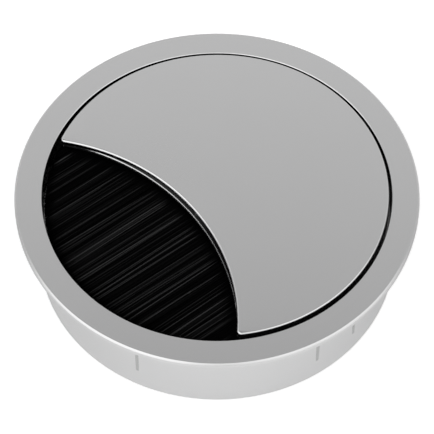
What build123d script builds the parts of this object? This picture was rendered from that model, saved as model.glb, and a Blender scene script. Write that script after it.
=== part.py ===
from build123d import *
import math
import os

# Round desk cable grommet: a cast ring lines a hole in a desk top, and a loose cover drops into it.
# A circular bite out of the cover lets the cables through, and a strip brush under the cover closes
# that bite with bristles, which reach across it to the wall of the ring's mouth.
# All sizes are in millimetres and degrees. The origin is the centre of the desk hole on the desk's
# surface, which is the plane of the flange's underside. +Z points up out of the desk, and the bite
# faces -Y.

# Ring: flange and skirt
desk_hole_diameter = 80.0
hole_clearance = 0.2
flange_overhang = 4.2
flange_thickness = 1.6
flange_bevel = 0.4
flange_lower_bevel = 0.15
skirt_length = 20.0
skirt_wall = 1.75
skirt_foot_bevel = 0.15
mouth_bevel = 0.15
inner_draft = 1.0

# Ring: ledge that the cover stands on
seat_depth = 6.0
seat_width = 2.8
seat_thickness = 2.0

# Ring: thin ribs that grip the wall of the desk hole, in groups of a single rib and a pair
rib_group_count = 3
rib_angles = (-63.1, -5.1, 9.9)
rib_width = 0.6
rib_height = 0.15
rib_length = 14.0
rib_lead_in = 1.2

# Cover: plate, rim wall and the bite for the cables
cover_clearance = 0.75
cover_thickness = 2.0
cover_wall = 1.5
cover_bevel = 0.3
cover_inner_bevel = 0.6
cover_corner_radius = 1.0
bite_radius = 47.1
bite_reach = 7.4
lip_drop = 1.2
lip_width = 0.7
lip_bevel = 0.2
lip_end_margin = 3.7
lip_step = 0.05

# Where the loose cover rests in the ring: slid back until its gap almost closes on the far side
cover_rest_x = -0.29
cover_rest_y = 0.44

# Strip brush: a folded channel, a core wire and bundles of filament folded round the wire
strip_setback = 3.5
strip_depth = 5.0
strip_end_margin = 1.0
channel_sheet = 0.5
channel_fold_radius = 0.7
core_wire_diameter = 0.9
bundle_layers = 2
bundle_thickness = 0.375
bundle_gap = 0.05
bundle_width = 0.86
bundle_pitch = 1.08
tip_clearance = 0.35

# Cover: cast stops that place the strip, and bosses for its two screws
stop_clearance = 0.15
stop_thickness = 1.5
stop_hook = 0.8
rear_rib_thickness = 1.2
rear_rib_height = 2.2
boss_spacing = 40.0
boss_radius = 2.0
pilot_radius = 1.15
pilot_depth = 4.4

# Screws: washer heads that overlap the edge of the channel
screw_shank_radius = 1.1
screw_shank_length = 3.8
screw_head_radius = 2.9
screw_head_thickness = 1.2
screw_head_bevel = 0.3
recess_length = 2.8
recess_width = 0.6
recess_depth = 0.6

# Radii and levels that follow
skirt_radius = desk_hole_diameter / 2 - hole_clearance
flange_radius = skirt_radius + flange_overhang
mouth_radius = skirt_radius - skirt_wall
seat_radius = mouth_radius - seat_width
top_z = flange_thickness
foot_z = -skirt_length
seat_z = top_z - seat_depth
seat_underside_z = seat_z - seat_thickness
cover_radius = mouth_radius - cover_clearance
cover_inner_radius = cover_radius - cover_wall
plate_underside_z = top_z - cover_thickness
lip_z = top_z - lip_drop

# Arc of the bite, and the corner where it meets the cover's edge
bite_centre_y = -(bite_reach + bite_radius)
corner_y = (bite_radius**2 - cover_radius**2 - bite_centre_y**2) / (-2 * bite_centre_y)
corner_x = math.sqrt(cover_radius**2 - corner_y**2)

# Arc of the lip's front: furthest out in the middle, it meets the bite's own arc at the lip's ends
lip_half_length = corner_x - lip_end_margin
lip_reach = bite_reach + lip_width
lip_end_y = bite_centre_y + math.sqrt(bite_radius**2 - lip_half_length**2)
lip_rise = -lip_end_y - lip_reach
lip_radius = (lip_half_length**2 + lip_rise**2) / (2 * lip_rise)
lip_centre_y = -(lip_reach + lip_radius)

# How far the brush and its channel run to either side, and where the rim wall ends
strip_half_length = corner_x + strip_end_margin
wall_end_x = corner_x + strip_end_margin / 3

# Section of the strip brush: it lies against the plate's underside and its mouth faces -Y
pack_half = core_wire_diameter / 2 + bundle_layers * (bundle_thickness + bundle_gap)
channel_height = 2 * (pack_half + channel_sheet)
strip_z = plate_underside_z - channel_height / 2
strip_underside_z = plate_underside_z - channel_height
strip_front_y = -(lip_reach - strip_setback)
strip_back_y = strip_front_y + strip_depth
wire_y = strip_back_y - channel_sheet - pack_half
tip_radius = mouth_radius - tip_clearance

# Screw bosses stand against the back of the channel
boss_y = strip_back_y + stop_clearance + boss_radius
screw_places = [(-boss_spacing / 2, boss_y), (boss_spacing / 2, boss_y)]


def block(low, high):
    """A box between two opposite corners."""
    size = [high[axis] - low[axis] for axis in range(3)]
    middle = [(high[axis] + low[axis]) / 2 for axis in range(3)]
    return Pos(*middle) * Box(*size)


def upright(radius, low_z, high_z, x=0.0, y=0.0):
    """A cylinder along Z between two levels."""
    return Pos(x, y, (low_z + high_z) / 2) * Cylinder(radius, high_z - low_z)


def grip_rib():
    """One rib on the skirt, at +X: it starts under the flange and fades into the wall below."""
    root = skirt_radius - rib_height
    crest = skirt_radius + rib_height
    outline = Polyline(
        (root, 0),
        (crest, 0),
        (crest, rib_lead_in - rib_length),
        (root, -rib_length),
        close=True,
    )
    return extrude(make_face(Plane.XZ * outline), rib_width / 2, both=True)


def make_ring():
    """Flange, skirt and seat ledge as one turned section, with the ribs added round the skirt."""
    draft = math.tan(math.radians(inner_draft))
    foot_inner_radius = mouth_radius + draft * (seat_underside_z - foot_z)
    section = Polyline(
        (mouth_radius, seat_z),
        (mouth_radius, top_z - mouth_bevel),
        (mouth_radius + mouth_bevel, top_z),
        (flange_radius - flange_bevel, top_z),
        (flange_radius, top_z - flange_bevel),
        (flange_radius, flange_lower_bevel),
        (flange_radius - flange_lower_bevel, 0),
        (skirt_radius, 0),
        (skirt_radius, foot_z + skirt_foot_bevel),
        (skirt_radius - skirt_foot_bevel, foot_z),
        (foot_inner_radius, foot_z),
        (mouth_radius, seat_underside_z),
        (seat_radius, seat_underside_z),
        (seat_radius, seat_z),
        close=True,
    )
    ring = revolve(make_face(Plane.XZ * section), Axis.Z)
    for group in range(rib_group_count):
        for angle in rib_angles:
            ring += Rot(0, 0, angle + group * 360 / rib_group_count) * grip_rib()
    return ring


def strip_stops():
    """Cast stops round the strip: a hooked block at each end and a rib along its back."""
    inner_x = strip_half_length + stop_clearance
    outer_x = inner_x + stop_thickness
    front_y = strip_front_y - stop_clearance
    stops = block(
        (-strip_half_length, strip_back_y + stop_clearance, plate_underside_z - rear_rib_height),
        (strip_half_length, strip_back_y + stop_clearance + rear_rib_thickness, plate_underside_z),
    )
    for side in (-1, 1):
        end = block(
            (inner_x, front_y - stop_thickness, strip_underside_z),
            (outer_x, strip_back_y, plate_underside_z),
        )
        hook = block(
            (inner_x - stop_hook, front_y - stop_thickness, strip_underside_z),
            (outer_x, front_y, plate_underside_z),
        )
        stops += (end + hook) if side == 1 else mirror(end + hook, Plane.YZ)
    return stops


def cover_outline():
    """The cover seen from above: a disc bitten by a large arc, with the two corners rounded."""
    bitten = Circle(cover_radius) - Pos(0, bite_centre_y) * Circle(bite_radius)
    return fillet(bitten.vertices(), cover_corner_radius)


def bite_lip():
    """The lip at the foot of the bite: the wall slopes out to it, and its edge has a bevel.

    In the middle the slope starts a small step below the cover's own bevel.
    """
    wall_z = top_z - cover_bevel
    foot_radius = lip_radius + lip_bevel
    slope_height = wall_z - lip_z
    slope_run = (lip_width - lip_bevel) * slope_height / (slope_height - lip_step)
    slope = Cone(foot_radius, foot_radius + slope_run, slope_height)
    bevel = Cone(lip_radius, foot_radius, lip_bevel)
    blank = block((-lip_half_length, lip_end_y, plate_underside_z), (lip_half_length, 0, wall_z))
    blank -= Pos(0, lip_centre_y, lip_z + slope_height / 2) * slope
    blank -= Pos(0, lip_centre_y, lip_z - lip_bevel / 2) * bevel
    return blank - upright(lip_radius, plate_underside_z, lip_z - lip_bevel, y=lip_centre_y)


def make_cover():
    """Plate with a rim wall that stands on the seat, and the lip, stops and bosses cast with it."""
    below = seat_z - 1
    hollow = upright(cover_inner_radius, below, plate_underside_z)
    hollow = chamfer(hollow.faces().sort_by(Axis.Z)[-1].edges(), cover_inner_bevel)
    cover = Pos(0, 0, seat_z) * extrude(cover_outline(), top_z - seat_z)
    cover = chamfer(cover.faces().sort_by(Axis.Z)[-1].edges(), cover_bevel)
    cover -= hollow
    cover -= block((-wall_end_x, -cover_radius, below), (wall_end_x, corner_y / 2, plate_underside_z))
    cover += bite_lip()
    cover += strip_stops()
    for x, y in screw_places:
        cover += upright(boss_radius, strip_underside_z, plate_underside_z, x, y)
        cover -= upright(pilot_radius, strip_underside_z, strip_underside_z + pilot_depth, x, y)
    return cover


def make_channel():
    """The strip folded into a U that opens towards -Y."""
    outer = [
        (strip_front_y, strip_z + channel_height / 2),
        (strip_back_y, strip_z + channel_height / 2),
        (strip_back_y, strip_z - channel_height / 2),
        (strip_front_y, strip_z - channel_height / 2),
    ]
    inner = [
        (strip_front_y, strip_z + pack_half),
        (strip_back_y - channel_sheet, strip_z + pack_half),
        (strip_back_y - channel_sheet, strip_z - pack_half),
        (strip_front_y, strip_z - pack_half),
    ]
    solids = []
    for points, radius in ((outer, channel_fold_radius + channel_sheet), (inner, channel_fold_radius)):
        path = FilletPolyline(*points, radius=radius)
        closing = Line(points[-1], points[0])
        face = make_face(Plane.YZ * Curve([path, closing]))
        solids.append(extrude(face, strip_half_length, both=True))
    return solids[0] - solids[1]


def make_core_wire():
    """Straight wire along the back of the channel."""
    wire = Cylinder(core_wire_diameter / 2, 2 * strip_half_length, rotation=(0, 90, 0))
    return Pos(0, wire_y, strip_z) * wire


def bundle(x, layer):
    """One bundle of filament folded round the wire, with both legs cut off at the tip circle.

    The fold is half an octagon round the wire, so that neighbouring layers nest in each other. The
    tip circle is the ring's, so the cover's rest place is taken off.
    """
    near = core_wire_diameter / 2 + bundle_gap + layer * (bundle_thickness + bundle_gap)
    far = near + bundle_thickness
    turn = math.tan(math.radians(22.5))
    from_middle = abs(x + cover_rest_x) + bundle_width / 2
    tip_y = -math.sqrt(tip_radius**2 - from_middle**2) - cover_rest_y

    def fold(reach):
        corners = [(turn, 1), (1, turn), (1, -turn), (turn, -1)]
        bend = [(wire_y + reach * back, strip_z + reach * up) for back, up in corners]
        return [(tip_y, strip_z + reach), *bend, (tip_y, strip_z - reach)]

    outline = Polyline(*fold(far), *reversed(fold(near)), close=True)
    return Pos(x, 0, 0) * extrude(make_face(Plane.YZ * outline), bundle_width / 2, both=True)


def make_bristles():
    """Layers of bundles side by side: each layer is half a step along from the one outside it."""
    bundles = []
    for layer in range(bundle_layers):
        room = 2 * corner_x - bundle_width - bundle_pitch * (layer % 2)
        steps = int(room / bundle_pitch)
        for step in range(steps + 1):
            bundles.append(bundle((step - steps / 2) * bundle_pitch, layer))
    return Compound(bundles)


def make_screws():
    """Two screws driven up into the bosses, whose heads clamp the channel's back edge."""
    screws = []
    for x, y in screw_places:
        head_z = strip_underside_z - screw_head_thickness
        head = upright(screw_head_radius, head_z, strip_underside_z, x, y)
        head = chamfer(head.faces().sort_by(Axis.Z)[0].edges(), screw_head_bevel)
        shank = upright(screw_shank_radius, strip_underside_z, strip_underside_z + screw_shank_length, x, y)
        screw = head + shank
        for length, width in ((recess_length, recess_width), (recess_width, recess_length)):
            screw -= block(
                (x - length / 2, y - width / 2, head_z),
                (x + length / 2, y + width / 2, head_z + recess_depth),
            )
        screws.append(screw)
    return Compound(screws)


on_cover = {
    "cover": make_cover(),
    "brush_channel": make_channel(),
    "brush_core_wire": make_core_wire(),
    "bristles": make_bristles(),
    "brush_screws": make_screws(),
}
nodes = {"ring": make_ring()}
for name, shape in on_cover.items():
    nodes[name] = Pos(cover_rest_x, cover_rest_y, 0) * shape

os.makedirs("parts", exist_ok=True)
for name, shape in nodes.items():
    export_step(shape, f"parts/{name}.step")
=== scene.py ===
import math

import bmesh
import bpy
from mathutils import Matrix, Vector


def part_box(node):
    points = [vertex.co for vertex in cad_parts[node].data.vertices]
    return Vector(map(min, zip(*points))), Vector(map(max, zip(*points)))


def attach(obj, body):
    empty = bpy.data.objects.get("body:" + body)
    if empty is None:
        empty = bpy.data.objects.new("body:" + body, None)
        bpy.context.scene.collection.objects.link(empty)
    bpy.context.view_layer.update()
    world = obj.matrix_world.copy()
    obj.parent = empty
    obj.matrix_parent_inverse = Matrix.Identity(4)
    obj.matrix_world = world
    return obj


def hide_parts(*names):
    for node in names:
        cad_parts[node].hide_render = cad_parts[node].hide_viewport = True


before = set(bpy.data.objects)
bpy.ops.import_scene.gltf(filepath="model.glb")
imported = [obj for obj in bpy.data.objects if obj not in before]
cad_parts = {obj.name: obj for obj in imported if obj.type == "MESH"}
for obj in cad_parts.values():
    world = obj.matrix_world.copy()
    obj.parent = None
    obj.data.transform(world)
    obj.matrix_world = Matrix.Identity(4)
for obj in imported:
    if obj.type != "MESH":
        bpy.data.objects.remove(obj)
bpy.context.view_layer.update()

# Looks of a round desk cable grommet: satin zinc castings, a black strip brush, and a light tent.
# Lengths are in metres. The origin is the centre of the desk hole at the flange's underside, +Z is up
# and the cable opening faces -Y.

MM = 0.001

# Places read from the frame
ring_low, ring_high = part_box("ring")
wire_low, wire_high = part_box("brush_core_wire")
bundles_low, bundles_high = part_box("bristles")
rim_z = ring_high[2]
floor_z = ring_low[2]
wire_y = (wire_low[1] + wire_high[1]) / 2
brush_z = (bundles_low[2] + bundles_high[2]) / 2

# Ring, as in its solid: radii, levels and bevels
skirt_radius = 39.8 * MM
mouth_radius = 38.05 * MM
seat_radius = 35.25 * MM
seat_z = -4.4 * MM
seat_thickness = 2.0 * MM
mouth_bevel = 0.15 * MM
flange_bevel = 0.4 * MM
small_bevel = 0.15 * MM
inner_draft = math.radians(1.0)
edge_round = 0.1 * MM
round_steps = 3
ring_segments = 288

# Gripping ribs round the skirt. A rib is flat over a share of its width and then falls to a share of
# its height, and its blank has rows of points across and along for that.
rib_groups = 3
rib_angles = (-63.1, -5.1, 9.9)
rib_width = 0.6 * MM
rib_height = 0.15 * MM
rib_length = 14.0 * MM
rib_lead_in = 1.2 * MM
rib_flat_share = 0.5
rib_side_share = 0.5
rib_rows_across = 6
rib_rows_along = 15

# Cover's lip: the slope over it, and the circle that its edge follows
slope_top_z = 1.25 * MM
lip_top_z = 0.4 * MM
lip_centre = (-0.29 * MM, -57.87 * MM)
lip_radius = 50.2 * MM
cover_centre = (-0.29 * MM, 0.44 * MM)
cover_radius = 37.3 * MM

# Soft edges of the cover, the channel and the screws
cover_edge = 0.1 * MM
sheet_edge = 0.06 * MM
edge_segments = 2
merge_distance = 0.001 * MM
sharp_angle = math.radians(28)

# Filaments of the brush
filament_count = 3400
filament_radius = 0.1 * MM
filament_sides = 5
filament_spans = 5
tip_reach = -bundles_low[1]
trim_spread = 1.0 * MM
root_x = (bundles_low[0] + bundles_high[0]) / 2
end_fill = 0.5 * MM
pack_half_height = (bundles_high[2] - bundles_low[2]) / 2 - filament_radius
pack_half_length = (bundles_high[0] - bundles_low[0]) / 2 + end_fill
root_squeeze = 0.6
fan_angle = math.radians(0.7)
tilt_angle = math.radians(0.4)
clump_sway = 0.9 * MM
clump_size = 2.6 * MM
clump_drop = 0.8 * MM
streak_size = 0.45 * MM

# Tone of the filaments: which band of the noise makes a clump, a streak or a drop, the painted sheen
# of a clump and the own tone of a single filament, and how far the painted shade reaches in from the
# tips and the lip
clump_band = (0.38, 0.62)
streak_band = (0.5, 0.66)
drop_band = (0.35, 0.65)
clump_sheen_levels = (0.08, 1.0)
filament_tones = (0.15, 1.0)
tip_shade = 2.2 * MM
lip_shade = 3.5 * MM

# Finishes. A pattern is given in features per metre and detail, a bump in strength and depth, and
# painted shade in gaps by its reach and the two levels of openness between which it fades.
zinc_greys = ((0.617, 0.617, 0.619), (0.632, 0.632, 0.634))
zinc_clouds = (90, 4)
zinc_grain = (7000, 2)
zinc_grain_bump = (0.02, 0.002 * MM)
zinc_roughness = (0.262, 0.278)
# Painted shade in the zinc's gaps and corners: its reach and levels of openness, and its grey
zinc_gap_shade = (2.2 * MM, 0.06, 0.5)
zinc_gap_shade_grey = (0.03, 0.03, 0.03)

channel_greys = ((0.42, 0.42, 0.43), (0.6, 0.6, 0.61))
screw_greys = ((0.5, 0.5, 0.51), (0.66, 0.66, 0.67))
wire_greys = ((0.35, 0.35, 0.35), (0.5, 0.5, 0.5))
steel_lines = (2500, 3)
steel_line_stretch = (0.03, 1.0, 1.0)
steel_line_bump = (0.2, 0.006 * MM)
steel_roughness = (0.28, 0.42)
# Painted shade in the steel's corners: its reach and levels of openness, and its grey
steel_gap_shade = (1.5 * MM, 0.15, 0.6)
steel_gap_shade_grey = (0.06, 0.058, 0.055)

# Base greys of the nylon, from the deepest painted shade to the brightest painted sheen
nylon_greys = ((0.0002, 0.0002, 0.0003), (0.08, 0.08, 0.081))
nylon_draw_marks = (3000, 2)
nylon_draw_stretch = (1.0, 0.05, 1.0)
nylon_draw_bump = (0.15, 0.005 * MM)
nylon_roughness = (0.55, 0.35)
nylon_gloss = 0.035

# Painted shade on the zinc, on the slope over the cover's lip, the mouth's wall and the ribs' crests:
# its greys, how soft its borders are, how far the mouth's wall starts inside its radius and the slope
# ends inside the cover's, and how far past its crest a rib counts
slope_shade_grey = (0.05, 0.05, 0.05)
mouth_wall_shade_grey = (0.01, 0.01, 0.01)
rib_shade_grey = (0.44, 0.44, 0.44)
shade_border = 0.04 * MM
wall_inset = 0.1 * MM
slope_inset = 3 * shade_border
crest_reach = 5 * shade_border

# Floor
floor_half_width = 6.0
floor_white = (0.82, 0.82, 0.82)
floor_roughness = 0.9
floor_gloss = 0.1

# Camera, at the photograph's place and angle
view_azimuth = math.radians(52.2)
view_elevation = math.radians(54.97)
view_distance = 508.5 * MM
view_lens = 194.27
aim_z = -8.53 * MM

# Light tent: how bright the surroundings are at each height above the horizon, in degrees, and two
# wide soft boxes, each with its side from the camera, height, half widths of its whole and of its
# even middle, and added brightness
tent_levels = [
    (0.0, 0.72),
    (12.0, 0.75),
    (20.0, 1.0),
    (36.0, 1.15),
    (46.0, 1.15),
    (58.0, 0.69),
    (70.0, 0.42),
    (90.0, 0.4),
]
soft_boxes = [
    (-52.0, 28.0, 52.0, 22.0, 0.9),
    (54.0, 28.0, 52.0, 22.0, 0.6),
]
background_level = 1.0
floor_glow = 0.45
glow_in_metal_back = 0.08
glow_in_metal_front = 0.34
glow_back = 10 * MM
glow_front = 52 * MM


def node_at(tree, kind, x, y, **values):
    """A new node of a tree at a place, with its properties set."""
    node = tree.nodes.new(kind)
    node.location = (x, y)
    for name, value in values.items():
        setattr(node, name, value)
    return node


def new_material(name):
    """An empty node material with its shader and output joined."""
    material = bpy.data.materials.new(name)
    material.use_nodes = True
    tree = material.node_tree
    tree.nodes.clear()
    shader = node_at(tree, "ShaderNodeBsdfPrincipled", 200, 0)
    output = node_at(tree, "ShaderNodeOutputMaterial", 500, 0)
    tree.links.new(shader.outputs["BSDF"], output.inputs["Surface"])
    return material, tree, shader


def object_noise(tree, scale, detail, x, y, stretch=(1.0, 1.0, 1.0)):
    """Noise on Object coordinates, with a scale in features per metre."""
    place = node_at(tree, "ShaderNodeTexCoord", x - 400, y)
    mapping = node_at(tree, "ShaderNodeMapping", x - 200, y)
    mapping.inputs["Scale"].default_value = stretch
    noise = node_at(tree, "ShaderNodeTexNoise", x, y)
    noise.inputs["Scale"].default_value = scale
    noise.inputs["Detail"].default_value = detail
    tree.links.new(place.outputs["Object"], mapping.inputs["Vector"])
    tree.links.new(mapping.outputs["Vector"], noise.inputs["Vector"])
    return noise.outputs["Fac"]


def spread(tree, value, low, high, x, y):
    """Maps a 0 to 1 value onto a range."""
    remap = node_at(tree, "ShaderNodeMapRange", x, y)
    remap.inputs["To Min"].default_value = low
    remap.inputs["To Max"].default_value = high
    tree.links.new(value, remap.inputs["Value"])
    return remap.outputs["Result"]


def grey_between(tree, value, low, high, x, y):
    """A grey between two levels, steered by a 0 to 1 value."""
    ramp = node_at(tree, "ShaderNodeValToRGB", x, y)
    ramp.color_ramp.elements[0].color = (*low, 1)
    ramp.color_ramp.elements[1].color = (*high, 1)
    tree.links.new(value, ramp.inputs["Fac"])
    return ramp.outputs["Color"]


def add_bump(tree, shader, height, strength, depth, x, y):
    """Bump from a height pattern: depth is its full height in metres."""
    bump = node_at(tree, "ShaderNodeBump", x, y)
    bump.inputs["Strength"].default_value = strength
    bump.inputs["Distance"].default_value = depth
    tree.links.new(height, bump.inputs["Height"])
    tree.links.new(bump.outputs["Normal"], shader.inputs["Normal"])


def crevice(tree, reach, dark, open_level, x, y):
    """How open a spot is, from 0 deep in a gap or corner to 1 on a free face."""
    shade = node_at(tree, "ShaderNodeAmbientOcclusion", x, y, samples=8)
    shade.inputs["Distance"].default_value = reach
    remap = node_at(tree, "ShaderNodeMapRange", x + 200, y, interpolation_type="SMOOTHSTEP")
    remap.inputs["From Min"].default_value = dark
    remap.inputs["From Max"].default_value = open_level
    tree.links.new(shade.outputs["AO"], remap.inputs["Value"])
    return remap.outputs["Result"]


def blend_colours(tree, factor, first, second, x, y):
    """Mixes two colours, each a socket or a constant."""
    mix = node_at(tree, "ShaderNodeMix", x, y, data_type="RGBA")
    tree.links.new(factor, mix.inputs[0])
    for socket, colour in ((mix.inputs[6], first), (mix.inputs[7], second)):
        if isinstance(colour, bpy.types.NodeSocket):
            tree.links.new(colour, socket)
        else:
            socket.default_value = (*colour, 1)
    return mix.outputs[2]


def distance_from(tree, centre, x, y):
    """Distance from an upright axis through a point, on Object coordinates."""
    place = node_at(tree, "ShaderNodeTexCoord", x, y)
    flat = node_at(tree, "ShaderNodeVectorMath", x + 200, y, operation="MULTIPLY")
    flat.inputs[1].default_value = (1, 1, 0)
    distance = node_at(tree, "ShaderNodeVectorMath", x + 400, y, operation="DISTANCE")
    distance.inputs[1].default_value = (*centre, 0)
    tree.links.new(place.outputs["Object"], flat.inputs[0])
    tree.links.new(flat.outputs[0], distance.inputs[0])
    return distance.outputs["Value"]


def fade(tree, value, start, end, x, y):
    """A smooth step from 0 at the start to 1 at the end, which may lie below the start."""
    step = node_at(tree, "ShaderNodeMapRange", x, y, interpolation_type="SMOOTHSTEP")
    step.inputs["From Min"].default_value = start
    step.inputs["From Max"].default_value = end
    tree.links.new(value, step.inputs["Value"])
    return step.outputs["Result"]


def product(tree, values, x, y):
    """All the values multiplied."""
    total = values[0]
    for number, value in enumerate(values[1:]):
        times = node_at(tree, "ShaderNodeMath", x + 150 * number, y, operation="MULTIPLY")
        tree.links.new(total, times.inputs[0])
        tree.links.new(value, times.inputs[1])
        total = times.outputs[0]
    return total


def height_in_object(tree, x, y):
    """Height on Object coordinates."""
    place = node_at(tree, "ShaderNodeTexCoord", x, y)
    parts = node_at(tree, "ShaderNodeSeparateXYZ", x + 200, y)
    tree.links.new(place.outputs["Object"], parts.inputs[0])
    return parts.outputs["Z"]


def painted_shade_places(tree, x, y):
    """Where shade is painted on the zinc: the slope over the cover's lip, the mouth's wall, the ribs'
    crests.
    """
    z = height_in_object(tree, x, y)
    r = distance_from(tree, (0, 0), x, y - 300)
    in_cover = distance_from(tree, cover_centre, x, y - 600)
    wall = mouth_radius - wall_inset
    crest = skirt_radius + rib_height / 2
    slope = [
        fade(tree, z, lip_top_z - shade_border, lip_top_z + shade_border, x + 600, y),
        fade(tree, z, slope_top_z + shade_border, slope_top_z, x + 600, y - 200),
        fade(tree, in_cover, cover_radius - shade_border, cover_radius - slope_inset, x + 600, y - 400),
    ]
    mouth_wall = [
        fade(tree, z, seat_z - shade_border, seat_z, x + 600, y - 600),
        fade(tree, z, rim_z - mouth_bevel, rim_z - mouth_bevel - shade_border, x + 600, y - 800),
        fade(tree, r, wall, wall + shade_border, x + 600, y - 1000),
        fade(tree, r, mouth_radius + 2 * shade_border, mouth_radius + shade_border, x + 600, y - 1200),
    ]
    ribs = [
        fade(tree, r, skirt_radius + shade_border, crest, x + 600, y - 1400),
        fade(tree, r, crest + crest_reach + shade_border, crest + crest_reach, x + 600, y - 1600),
        fade(tree, z, 0, -shade_border, x + 600, y - 1800),
    ]
    return [product(tree, place, x + 800, y) for place in (slope, mouth_wall, ribs)]


def satin_zinc():
    """Die-cast zinc under a satin plating: an even fine grain, faint clouds, and painted shade in its
    gaps, on the slope over the lip, on the mouth's wall and on the ribs' crests.
    """
    material, tree, shader = new_material("satin_zinc")
    clouds = object_noise(tree, *zinc_clouds, -500, 400)
    colour = grey_between(tree, clouds, *zinc_greys, -250, 400)
    # Painted shade: the zinc turns towards a near-black grey in gaps and corners, by ambient occlusion
    openness = crevice(tree, *zinc_gap_shade, -500, 700)
    colour = blend_colours(tree, openness, zinc_gap_shade_grey, colour, 0, 500)
    # Painted shade: the slope over the lip, the mouth's wall and the ribs' crests are darkened
    greys = (slope_shade_grey, mouth_wall_shade_grey, rib_shade_grey)
    for number, (place, grey) in enumerate(zip(painted_shade_places(tree, -1600, 1500), greys)):
        colour = blend_colours(tree, place, colour, grey, 0, 700 + 200 * number)
    tree.links.new(colour, shader.inputs["Base Color"])
    grain = object_noise(tree, *zinc_grain, -700, 0)
    satin = spread(tree, grain, *zinc_roughness, -250, 0)
    tree.links.new(satin, shader.inputs["Roughness"])
    shader.inputs["Metallic"].default_value = 1.0
    add_bump(tree, shader, grain, *zinc_grain_bump, -50, -200)
    return material


def rolled_steel(name, greys):
    """Bright rolled or drawn steel, with fine lines along X and painted shade in its corners."""
    material, tree, shader = new_material(name)
    lines = object_noise(tree, *steel_lines, -500, 200, stretch=steel_line_stretch)
    colour = grey_between(tree, lines, *greys, -250, 200)
    # Painted shade: the steel turns towards a dark grey in gaps and corners, by ambient occlusion
    openness = crevice(tree, *steel_gap_shade, -500, 600)
    colour = blend_colours(tree, openness, steel_gap_shade_grey, colour, 0, 400)
    rough = spread(tree, lines, *steel_roughness, -250, -50)
    tree.links.new(colour, shader.inputs["Base Color"])
    tree.links.new(rough, shader.inputs["Roughness"])
    shader.inputs["Metallic"].default_value = 1.0
    add_bump(tree, shader, lines, *steel_line_bump, -50, -250)
    return material


def black_nylon():
    """Drawn black filament: each one has its own tone and a painted sheen, kept as a point attribute,
    and painted shade darkens it near the tips and under the cover's lip.
    """
    material, tree, shader = new_material("black_nylon")
    tone_and_sheen = node_at(tree, "ShaderNodeAttribute", -700, 200, attribute_name="tone_and_sheen")
    # Painted shade: the filaments darken towards their tips at the mouth's wall and under the cover's
    # lip
    in_mouth = distance_from(tree, (0, 0), -1500, 500)
    from_mouth = fade(tree, in_mouth, tip_reach, tip_reach - tip_shade, -700, 500)
    in_bite = distance_from(tree, lip_centre, -1500, 800)
    from_lip = fade(tree, in_bite, lip_radius, lip_radius - lip_shade, -700, 800)
    light = product(tree, [tone_and_sheen.outputs["Fac"], from_mouth, from_lip], -500, 400)
    colour = grey_between(tree, light, *nylon_greys, -250, 200)
    rough = spread(tree, light, *nylon_roughness, -250, -50)
    tree.links.new(colour, shader.inputs["Base Color"])
    tree.links.new(rough, shader.inputs["Roughness"])
    shader.inputs["Specular IOR Level"].default_value = nylon_gloss
    draw_marks = object_noise(tree, *nylon_draw_marks, -500, -250, stretch=nylon_draw_stretch)
    add_bump(tree, shader, draw_marks, *nylon_draw_bump, -50, -300)
    return material


def finish_node(name, material):
    """Gives a CAD node its finish."""
    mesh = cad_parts[name].data
    mesh.materials.clear()
    mesh.materials.append(material)


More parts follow.
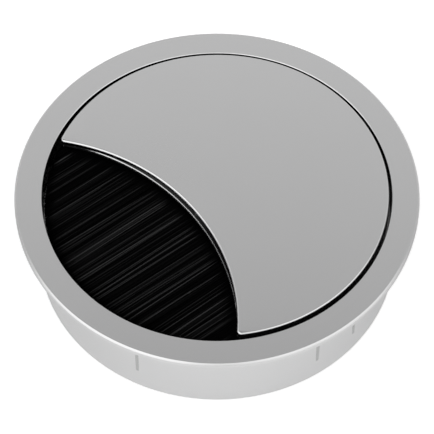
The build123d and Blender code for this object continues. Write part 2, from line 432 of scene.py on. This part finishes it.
class GeometryTree:
    """A Geometry Nodes tree with named inputs, built node by node."""

    def __init__(self, name):
        self.tree = bpy.data.node_groups.new(name, "GeometryNodeTree")
        self.tree.interface.new_socket("Geometry", in_out="OUTPUT", socket_type="NodeSocketGeometry")
        self.source = self.tree.nodes.new("NodeGroupInput")
        self.values = {}
        self.column = 0

    def outline_input(self):
        """The outline that the tree starts from."""
        kind = "NodeSocketGeometry"
        socket = self.tree.interface.new_socket("Outline", in_out="INPUT", socket_type=kind)
        return self.source.outputs[socket.identifier]

    def named_input(self, name, value):
        """A named input of the tree. A whole number makes an integer socket."""
        kind = "NodeSocketInt" if isinstance(value, int) else "NodeSocketFloat"
        socket = self.tree.interface.new_socket(name, in_out="INPUT", socket_type=kind)
        self.values[socket.identifier] = value
        return self.source.outputs[socket.identifier]

    def add(self, kind, inputs=None, **properties):
        """A node with linked or constant inputs, named or numbered, and properties set first."""
        self.column += 1
        node = node_at(self.tree, kind, 180 * self.column, 0, **properties)
        for key, value in (inputs or {}).items():
            if isinstance(value, bpy.types.NodeSocket):
                self.tree.links.new(value, node.inputs[key])
            else:
                node.inputs[key].default_value = value
        return node

    def math(self, operation, first, second=0.0):
        """One arithmetic step on two values."""
        return self.add("ShaderNodeMath", {0: first, 1: second}, operation=operation).outputs[0]

    def vector(self, x, y, z):
        """A vector from three values."""
        return self.add("ShaderNodeCombineXYZ", {"X": x, "Y": y, "Z": z}).outputs[0]

    def random(self, low, high, seed):
        """A value of its own for each point, between two limits."""
        node = self.add("FunctionNodeRandomValue", {2: low, 3: high, "Seed": seed}, data_type="FLOAT")
        return node.outputs[1]

    def ramp(self, value, from_low, from_high, to_low, to_high, kind="LINEAR"):
        """A value carried from one range to another and held at its ends."""
        node = self.add(
            "ShaderNodeMapRange",
            {0: value, 1: from_low, 2: from_high, 3: to_low, 4: to_high},
            interpolation_type=kind,
        )
        return node.outputs[0]

    def noise(self, value, size, detail):
        """Smooth noise along one value, with features of a given size."""
        where = self.vector(self.math("DIVIDE", value, size), 0.0, 0.0)
        node = self.add("ShaderNodeTexNoise", {"Vector": where, "Scale": 1.0, "Detail": detail})
        return node.outputs["Fac"]

    def store(self, geometry, name, value):
        """Keeps a value on the geometry's points under a name."""
        node = self.add(
            "GeometryNodeStoreNamedAttribute",
            {"Geometry": geometry, "Name": name, "Value": value},
            data_type="FLOAT",
            domain="POINT",
        )
        return node.outputs[0]

    def stored(self, name):
        """Reads a value kept under a name."""
        return self.add("GeometryNodeInputNamedAttribute", {"Name": name}, data_type="FLOAT").outputs[0]

    def finish(self, geometry, material):
        """Ends the tree in real geometry with its material, shaded smooth."""
        smooth = self.add("GeometryNodeSetShadeSmooth", {"Geometry": geometry}).outputs[0]
        coated = self.add("GeometryNodeSetMaterial", {"Geometry": smooth, "Material": material})
        output = self.tree.nodes.new("NodeGroupOutput")
        self.tree.links.new(coated.outputs[0], output.inputs[0])

    def plain_mesh(self, name, outline=None):
        """The tree's result as an object with a plain mesh."""
        start = outline or bpy.data.meshes.new(name + "_start")
        holder = bpy.data.objects.new(name + "_holder", start)
        bpy.context.scene.collection.objects.link(holder)
        modifier = holder.modifiers.new("geometry", "NODES")
        modifier.node_group = self.tree
        for identifier, value in self.values.items():
            modifier[identifier] = value
        graph = bpy.context.evaluated_depsgraph_get()
        mesh = bpy.data.meshes.new_from_object(holder.evaluated_get(graph))
        mesh.name = name
        bpy.data.objects.remove(holder)
        piece = bpy.data.objects.new(name, mesh)
        bpy.context.scene.collection.objects.link(piece)
        return piece


def round_corners(corners):
    """Points of a closed outline whose corners, given as (x, y, radius), are rounded by arcs."""
    points = []
    for number, (x, y, radius) in enumerate(corners):
        here = Vector((x, y))
        before = (Vector(corners[number - 1][:2]) - here).normalized()
        after = (Vector(corners[(number + 1) % len(corners)][:2]) - here).normalized()
        half = before.angle(after) / 2
        middle = here + (before + after).normalized() * radius / math.sin(half)
        start = here + before * radius / math.tan(half) - middle
        end = here + after * radius / math.tan(half) - middle
        turn = start.angle(end)
        for step in range(round_steps + 1):
            share = step / round_steps
            sweep = start * math.sin((1 - share) * turn) + end * math.sin(share * turn)
            points.append(middle + sweep / math.sin(turn))
    return points


def ring_outline():
    """The ring's section as a mesh of edges: x is the distance from the skirt, y the depth."""
    seat_under = seat_z - seat_thickness
    foot_inner = mouth_radius + math.tan(inner_draft) * (seat_under - floor_z)
    flange_radius = ring_high[0]
    section = [
        (mouth_radius, seat_z),
        (mouth_radius, rim_z - mouth_bevel),
        (mouth_radius + mouth_bevel, rim_z),
        (flange_radius - flange_bevel, rim_z),
        (flange_radius, rim_z - flange_bevel),
        (flange_radius, small_bevel),
        (flange_radius - small_bevel, 0),
        (skirt_radius, 0),
        (skirt_radius, floor_z + small_bevel),
        (skirt_radius - small_bevel, floor_z),
        (foot_inner, floor_z),
        (mouth_radius, seat_under),
        (seat_radius, seat_under),
        (seat_radius, seat_z),
    ]
    mouth_edge = {(mouth_radius, rim_z - mouth_bevel), (mouth_radius + mouth_bevel, rim_z)}
    corners = []
    for radius, z in section:
        fine = (radius, z) in mouth_edge or z in (small_bevel, 0) or z < floor_z / 2
        corners.append((radius - skirt_radius, -z, edge_round / 2 if fine else edge_round))
    points = round_corners(corners)
    mesh = bpy.data.meshes.new("ring_outline")
    edges = [(number, (number + 1) % len(points)) for number in range(len(points))]
    mesh.from_pydata([(x, y, 0) for x, y in points], edges, [])
    return mesh


def make_ring(material):
    """The ring: its section turned round the axis, with the gripping ribs set round the skirt."""
    tree = GeometryTree("turned_ring")
    outline = tree.outline_input()
    segments = tree.named_input("Segments", ring_segments)
    radius = tree.named_input("Skirt Radius", skirt_radius)
    groups = tree.named_input("Rib Groups", rib_groups)
    width = tree.named_input("Rib Width", rib_width)
    height = tree.named_input("Rib Height", rib_height)
    length = tree.named_input("Rib Length", rib_length)
    lead_in = tree.named_input("Rib Lead In", rib_lead_in)

    circle = tree.add(
        "GeometryNodeCurvePrimitiveCircle",
        {"Resolution": segments, "Radius": radius},
    ).outputs[0]
    section = tree.add("GeometryNodeMeshToCurve", {"Mesh": outline}).outputs[0]
    turned = tree.add("GeometryNodeCurveToMesh", {"Curve": circle, "Profile Curve": section}).outputs[0]

    blank = tree.add(
        "GeometryNodeMeshCube",
        {
            "Size": tree.vector(tree.math("MULTIPLY", height, 2.0), width, length),
            "Vertices X": 2,
            "Vertices Y": rib_rows_across,
            "Vertices Z": rib_rows_along,
        },
    ).outputs[0]
    spot = tree.add("ShaderNodeSeparateXYZ", {0: tree.add("GeometryNodeInputPosition").outputs[0]})
    half_width = tree.math("MULTIPLY", width, 0.5)
    across = tree.math("DIVIDE", tree.math("ABSOLUTE", spot.outputs["Y"]), half_width)
    shoulder = tree.ramp(across, rib_flat_share, 1.0, 1.0, rib_side_share)
    from_foot = tree.math("ADD", spot.outputs["Z"], tree.math("MULTIPLY", length, 0.5))
    fullness = tree.math("MULTIPLY", shoulder, tree.ramp(from_foot, 0.0, lead_in, 0.0, 1.0))
    sink = tree.math("MULTIPLY", tree.math("SUBTRACT", fullness, 1.0), height)
    outer = tree.math("GREATER_THAN", spot.outputs["X"], 0.0)
    shaped = tree.add(
        "GeometryNodeSetPosition",
        {"Geometry": blank, "Offset": tree.vector(tree.math("MULTIPLY", sink, outer), 0.0, 0.0)},
    ).outputs[0]
    on_skirt = tree.vector(radius, 0.0, tree.math("MULTIPLY", length, -0.5))
    rib = tree.add("GeometryNodeTransform", {"Geometry": shaped, "Translation": on_skirt}).outputs[0]
    one_group = tree.add("GeometryNodeJoinGeometry")
    for angle in rib_angles:
        turn = {"Geometry": rib, "Rotation": (0.0, 0.0, math.radians(angle))}
        tree.tree.links.new(tree.add("GeometryNodeTransform", turn).outputs[0], one_group.inputs[0])
    centres = tree.add("GeometryNodePoints", {"Count": groups}).outputs[0]
    index = tree.add("GeometryNodeInputIndex").outputs[0]
    spin = tree.math("DIVIDE", tree.math("MULTIPLY", index, math.tau), groups)
    ribs = tree.add(
        "GeometryNodeInstanceOnPoints",
        {"Points": centres, "Instance": one_group.outputs[0], "Rotation": tree.vector(0.0, 0.0, spin)},
    ).outputs[0]
    real_ribs = tree.add("GeometryNodeRealizeInstances", {"Geometry": ribs}).outputs[0]
    whole = tree.add("GeometryNodeJoinGeometry")
    tree.tree.links.new(turned, whole.inputs[0])
    tree.tree.links.new(real_ribs, whole.inputs[0])
    tree.finish(whole.outputs[0], material)
    ring = tree.plain_mesh("turned_ring", ring_outline())
    even_shading(ring)
    return ring


def even_shading(piece):
    """Shades the large faces flat and lets the narrow edges carry the turn."""
    normals = piece.modifiers.new("even_shading", "WEIGHTED_NORMAL")
    normals.mode = "FACE_AREA"
    normals.weight = 100


def soft_edged(node, name, edge, material):
    """A copy of a CAD node with its edges softened by a narrow bevel."""
    work = bmesh.new()
    work.from_mesh(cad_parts[node].data)
    bmesh.ops.remove_doubles(work, verts=work.verts, dist=merge_distance)
    for face in work.faces:
        face.smooth = True
    mesh = bpy.data.meshes.new(name)
    work.to_mesh(mesh)
    work.free()
    mesh.materials.clear()
    mesh.materials.append(material)
    piece = bpy.data.objects.new(name, mesh)
    bpy.context.scene.collection.objects.link(piece)
    soften = piece.modifiers.new("soft_edges", "BEVEL")
    soften.width = edge
    soften.segments = edge_segments
    soften.limit_method = "ANGLE"
    soften.angle_limit = sharp_angle
    soften.use_clamp_overlap = False
    even_shading(piece)
    return piece


def stand_in(piece, node):
    """Puts a finished piece in the place of its CAD node."""
    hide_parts(node)
    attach(piece, "root")


def make_filaments(material):
    """The brush's filaments: each runs from the core wire to its own length just short of the wall.

    A unit tube along -Y is set at each root, stretched to its length and turned a little, and then
    swayed together with its neighbours, more towards the tip. Near the wire the brush is squeezed
    flat, and clumps lie at their own height and are lighter or darker by a painted sheen.
    """
    tree = GeometryTree("filament_field")
    count = tree.named_input("Filament Count", filament_count)
    middle_x = tree.named_input("Root X", root_x)
    half_length = tree.named_input("Half Length", pack_half_length)
    half_height = tree.named_input("Half Height", pack_half_height)
    root_y = tree.named_input("Root Y", wire_y)
    root_z = tree.named_input("Root Z", brush_z)
    reach = tree.named_input("Tip Reach", tip_reach)
    trim = tree.named_input("Trim Spread", trim_spread)
    radius = tree.named_input("Filament Radius", filament_radius)
    fan = tree.named_input("Fan Angle", fan_angle)
    tilt = tree.named_input("Tilt Angle", tilt_angle)
    sway = tree.named_input("Clump Sway", clump_sway)
    clump = tree.named_input("Clump Size", clump_size)
    drop = tree.named_input("Clump Drop", clump_drop)
    streak = tree.named_input("Streak Size", streak_size)
    squeeze = tree.named_input("Root Squeeze", root_squeeze)

    index = tree.add("GeometryNodeInputIndex").outputs[0]
    step = tree.math("DIVIDE", tree.math("ADD", index, tree.random(0.0, 1.0, 1)), count)
    from_middle = tree.math("SUBTRACT", tree.math("MULTIPLY", step, 2.0), 1.0)
    x = tree.math("ADD", tree.math("MULTIPLY", from_middle, half_length), middle_x)
    height = tree.math("MULTIPLY", tree.random(-1.0, 1.0, 2), half_height)
    roots = tree.add(
        "GeometryNodePoints",
        {"Count": count, "Position": tree.vector(x, root_y, root_z)},
    ).outputs[0]
    reach_squared = tree.math("POWER", reach, 2.0)
    across = tree.math("SQRT", tree.math("SUBTRACT", reach_squared, tree.math("POWER", x, 2.0)))
    trimmed = tree.math("SUBTRACT", across, tree.math("MULTIPLY", tree.random(0.0, 1.0, 3), trim))
    length = tree.math("ADD", trimmed, root_y)
    # Painted sheen: clumps and streaks are lighter, multiplied by each filament's own random tone
    bands = tree.ramp(tree.noise(x, clump, 2.0), *clump_band, *clump_sheen_levels, "SMOOTHSTEP")
    streaks = tree.ramp(tree.noise(x, streak, 2.0), *streak_band, 0.0, 1.0, "SMOOTHSTEP")
    own = tree.random(*filament_tones, 4)
    tone_and_sheen = tree.math("MULTIPLY", tree.math("MULTIPLY", bands, streaks), own)
    roots = tree.store(roots, "own_x", x)
    roots = tree.store(roots, "own_height", height)
    roots = tree.store(roots, "tone_and_sheen", tone_and_sheen)

    tube = tree.add(
        "GeometryNodeMeshCylinder",
        {"Vertices": filament_sides, "Side Segments": filament_spans, "Radius": radius, "Depth": 1.0},
        fill_type="NGON",
    ).outputs[0]
    laid = tree.add(
        "GeometryNodeTransform",
        {"Geometry": tube, "Translation": (0.0, -0.5, 0.0), "Rotation": (math.radians(90), 0.0, 0.0)},
    ).outputs[0]
    spot = tree.add("GeometryNodeInputPosition").outputs[0]
    along = tree.math("MULTIPLY", tree.add("ShaderNodeSeparateXYZ", {0: spot}).outputs["Y"], -1.0)
    laid = tree.store(laid, "along", along)

    turn = tree.vector(
        tree.math("MULTIPLY", tree.random(-1.0, 1.0, 5), tilt),
        0.0,
        tree.math("MULTIPLY", tree.random(-1.0, 1.0, 6), fan),
    )
    placed = tree.add(
        "GeometryNodeInstanceOnPoints",
        {"Points": roots, "Instance": laid, "Rotation": turn, "Scale": tree.vector(1.0, length, 1.0)},
    ).outputs[0]
    real = tree.add("GeometryNodeRealizeInstances", {"Geometry": placed}).outputs[0]

    outward = tree.stored("along")
    root_of = tree.stored("own_x")
    swing = tree.math("MULTIPLY", tree.math("SUBTRACT", tree.noise(root_of, clump, 2.0), 0.5), sway)
    shift = tree.math("MULTIPLY", tree.math("MULTIPLY", swing, tree.math("POWER", outward, 2.0)), 2.0)
    spread_out = tree.ramp(outward, 0.0, 1.0, squeeze, 1.0)
    rise = tree.math("MULTIPLY", tree.stored("own_height"), spread_out)
    sunk = tree.math("MULTIPLY", tree.ramp(tree.noise(root_of, streak, 1.0), *drop_band, 1.0, 0.0), drop)
    level = tree.math("SUBTRACT", rise, tree.math("MULTIPLY", sunk, outward))
    lowest = tree.math("MULTIPLY", half_height, -1.0)
    swayed = tree.add(
        "GeometryNodeSetPosition",
        {"Geometry": real, "Offset": tree.vector(shift, 0.0, tree.math("MAXIMUM", level, lowest))},
    ).outputs[0]
    tree.finish(swayed, material)
    return tree.plain_mesh("brush_filaments")


def make_floor():
    """A wide white floor under the grommet, which keeps a soft shadow."""
    material, tree, shader = new_material("floor_white")
    shader.inputs["Base Color"].default_value = (*floor_white, 1)
    shader.inputs["Roughness"].default_value = floor_roughness
    shader.inputs["Specular IOR Level"].default_value = floor_gloss
    path = node_at(tree, "ShaderNodeLightPath", -600, -300)
    mirrored = node_at(tree, "ShaderNodeMath", -400, -400, operation="MAXIMUM")
    tree.links.new(path.outputs["Is Glossy Ray"], mirrored.inputs[0])
    tree.links.new(path.outputs["Is Transmission Ray"], mirrored.inputs[1])
    place = node_at(tree, "ShaderNodeTexCoord", -800, -600)
    forward = node_at(tree, "ShaderNodeVectorMath", -600, -600, operation="DOT_PRODUCT")
    forward.inputs[1].default_value = towards(0, 0)
    tree.links.new(place.outputs["Object"], forward.inputs[0])
    brighter = node_at(tree, "ShaderNodeMapRange", -400, -600)
    brighter.inputs["From Min"].default_value = glow_back
    brighter.inputs["From Max"].default_value = glow_front
    brighter.inputs["To Min"].default_value = glow_in_metal_back
    brighter.inputs["To Max"].default_value = glow_in_metal_front
    tree.links.new(forward.outputs["Value"], brighter.inputs["Value"])
    in_metal = node_at(tree, "ShaderNodeMath", -200, -400, operation="MULTIPLY")
    tree.links.new(mirrored.outputs[0], in_metal.inputs[0])
    tree.links.new(brighter.outputs["Result"], in_metal.inputs[1])
    in_view = spread(tree, path.outputs["Is Camera Ray"], 0.0, floor_glow, -200, -200)
    glow = node_at(tree, "ShaderNodeMath", 0, -300, operation="MAXIMUM")
    tree.links.new(in_metal.outputs[0], glow.inputs[0])
    tree.links.new(in_view, glow.inputs[1])
    shader.inputs["Emission Color"].default_value = (1, 1, 1, 1)
    tree.links.new(glow.outputs[0], shader.inputs["Emission Strength"])
    mesh = bpy.data.meshes.new("floor")
    sides = ((-1, -1), (1, -1), (1, 1), (-1, 1))
    corners = [(x * floor_half_width, y * floor_half_width, floor_z) for x, y in sides]
    mesh.from_pydata(corners, [], [(0, 1, 2, 3)])
    mesh.materials.append(material)
    floor = bpy.data.objects.new("floor", mesh)
    bpy.context.scene.collection.objects.link(floor)


def towards(side, height):
    """A direction, from its side as the camera sees it and its height, both in degrees."""
    turn = view_azimuth - math.pi / 2 + math.radians(side)
    rise = math.radians(height)
    return (math.cos(turn) * math.cos(rise), math.sin(turn) * math.cos(rise), math.sin(rise))


def tent_brightness(tree, direction):
    """Brightness of the tent by height above the horizon."""
    parts = node_at(tree, "ShaderNodeSeparateXYZ", -900, 0)
    ramp = node_at(tree, "ShaderNodeFloatCurve", -700, 0)
    curve = ramp.mapping.curves[0]
    heights = [(math.sin(math.radians(angle)), level) for angle, level in tent_levels]
    top_level = max(level for _, level in heights)
    for _ in range(len(heights) - 2):
        curve.points.new(0.5, 0.5)
    for point, (height, level) in zip(curve.points, heights):
        point.location = (height, level / top_level)
    ramp.mapping.update()
    strength = node_at(tree, "ShaderNodeMath", -400, 0, operation="MULTIPLY")
    strength.inputs[1].default_value = top_level
    tree.links.new(direction, parts.inputs[0])
    tree.links.new(parts.outputs["Z"], ramp.inputs["Value"])
    tree.links.new(ramp.outputs[0], strength.inputs[0])
    return strength.outputs[0]


def soft_box_brightness(tree, direction, side, height, half_width, even_width, added, y):
    """Brightness that a round soft box adds, fading from its even middle to its edge."""
    facing = node_at(tree, "ShaderNodeVectorMath", -700, y, operation="DOT_PRODUCT")
    facing.inputs[1].default_value = towards(side, height)
    glow = node_at(tree, "ShaderNodeMapRange", -500, y, interpolation_type="SMOOTHSTEP")
    glow.inputs["From Min"].default_value = math.cos(math.radians(half_width))
    glow.inputs["From Max"].default_value = math.cos(math.radians(even_width))
    glow.inputs["To Max"].default_value = added
    tree.links.new(direction, facing.inputs[0])
    tree.links.new(facing.outputs["Value"], glow.inputs["Value"])
    return glow.outputs["Result"]


def make_light():
    """The light tent and its soft boxes, white where the camera sees past the floor."""
    world = bpy.data.worlds.new("light_tent")
    world.use_nodes = True
    bpy.context.scene.world = world
    tree = world.node_tree
    tree.nodes.clear()
    direction = node_at(tree, "ShaderNodeTexCoord", -1100, 0).outputs["Generated"]
    total = tent_brightness(tree, direction)
    for number, box in enumerate(soft_boxes):
        more = node_at(tree, "ShaderNodeMath", -200 + 150 * number, -200, operation="ADD")
        tree.links.new(total, more.inputs[0])
        tree.links.new(soft_box_brightness(tree, direction, *box, -300 - 300 * number), more.inputs[1])
        total = more.outputs[0]
    path = node_at(tree, "ShaderNodeLightPath", 0, 300)
    choose = node_at(tree, "ShaderNodeMix", 200, 100, data_type="FLOAT")
    choose.inputs["B"].default_value = background_level
    background = node_at(tree, "ShaderNodeBackground", 400, 0)
    output = node_at(tree, "ShaderNodeOutputWorld", 600, 0)
    tree.links.new(path.outputs["Is Camera Ray"], choose.inputs["Factor"])
    tree.links.new(total, choose.inputs["A"])
    tree.links.new(choose.outputs[0], background.inputs["Strength"])
    tree.links.new(background.outputs[0], output.inputs["Surface"])


def make_camera():
    """The camera at the photograph's viewing angle, aimed at the middle of the grommet's height."""
    data = bpy.data.cameras.new("photo_camera")
    data.lens = view_lens
    data.clip_start = 0.01
    camera = bpy.data.objects.new("photo_camera", data)
    bpy.context.scene.collection.objects.link(camera)
    back = Vector((
        math.sin(view_azimuth) * math.cos(view_elevation),
        -math.cos(view_azimuth) * math.cos(view_elevation),
        math.sin(view_elevation),
    ))
    camera.location = Vector((0, 0, rim_z)) + back * view_distance
    aim = Vector((0, 0, aim_z)) - camera.location
    camera.rotation_mode = "QUATERNION"
    camera.rotation_quaternion = aim.to_track_quat("-Z", "Y")
    bpy.context.scene.camera = camera


zinc = satin_zinc()
channel_steel = rolled_steel("channel_steel", channel_greys)
screw_steel = rolled_steel("screw_steel", screw_greys)
ring = make_ring(zinc)
cover = soft_edged("cover", "soft_cover", cover_edge, zinc)
channel = soft_edged("brush_channel", "soft_channel", sheet_edge, channel_steel)
screws = soft_edged("brush_screws", "soft_screws", sheet_edge, screw_steel)
filaments = make_filaments(black_nylon())

stand_in(ring, "ring")
stand_in(cover, "cover")
stand_in(channel, "brush_channel")
stand_in(screws, "brush_screws")
stand_in(filaments, "bristles")
finish_node("brush_core_wire", rolled_steel("wire_steel", wire_greys))

make_floor()
make_light()
make_camera()
bpy.context.scene.view_settings.view_transform = "Standard"
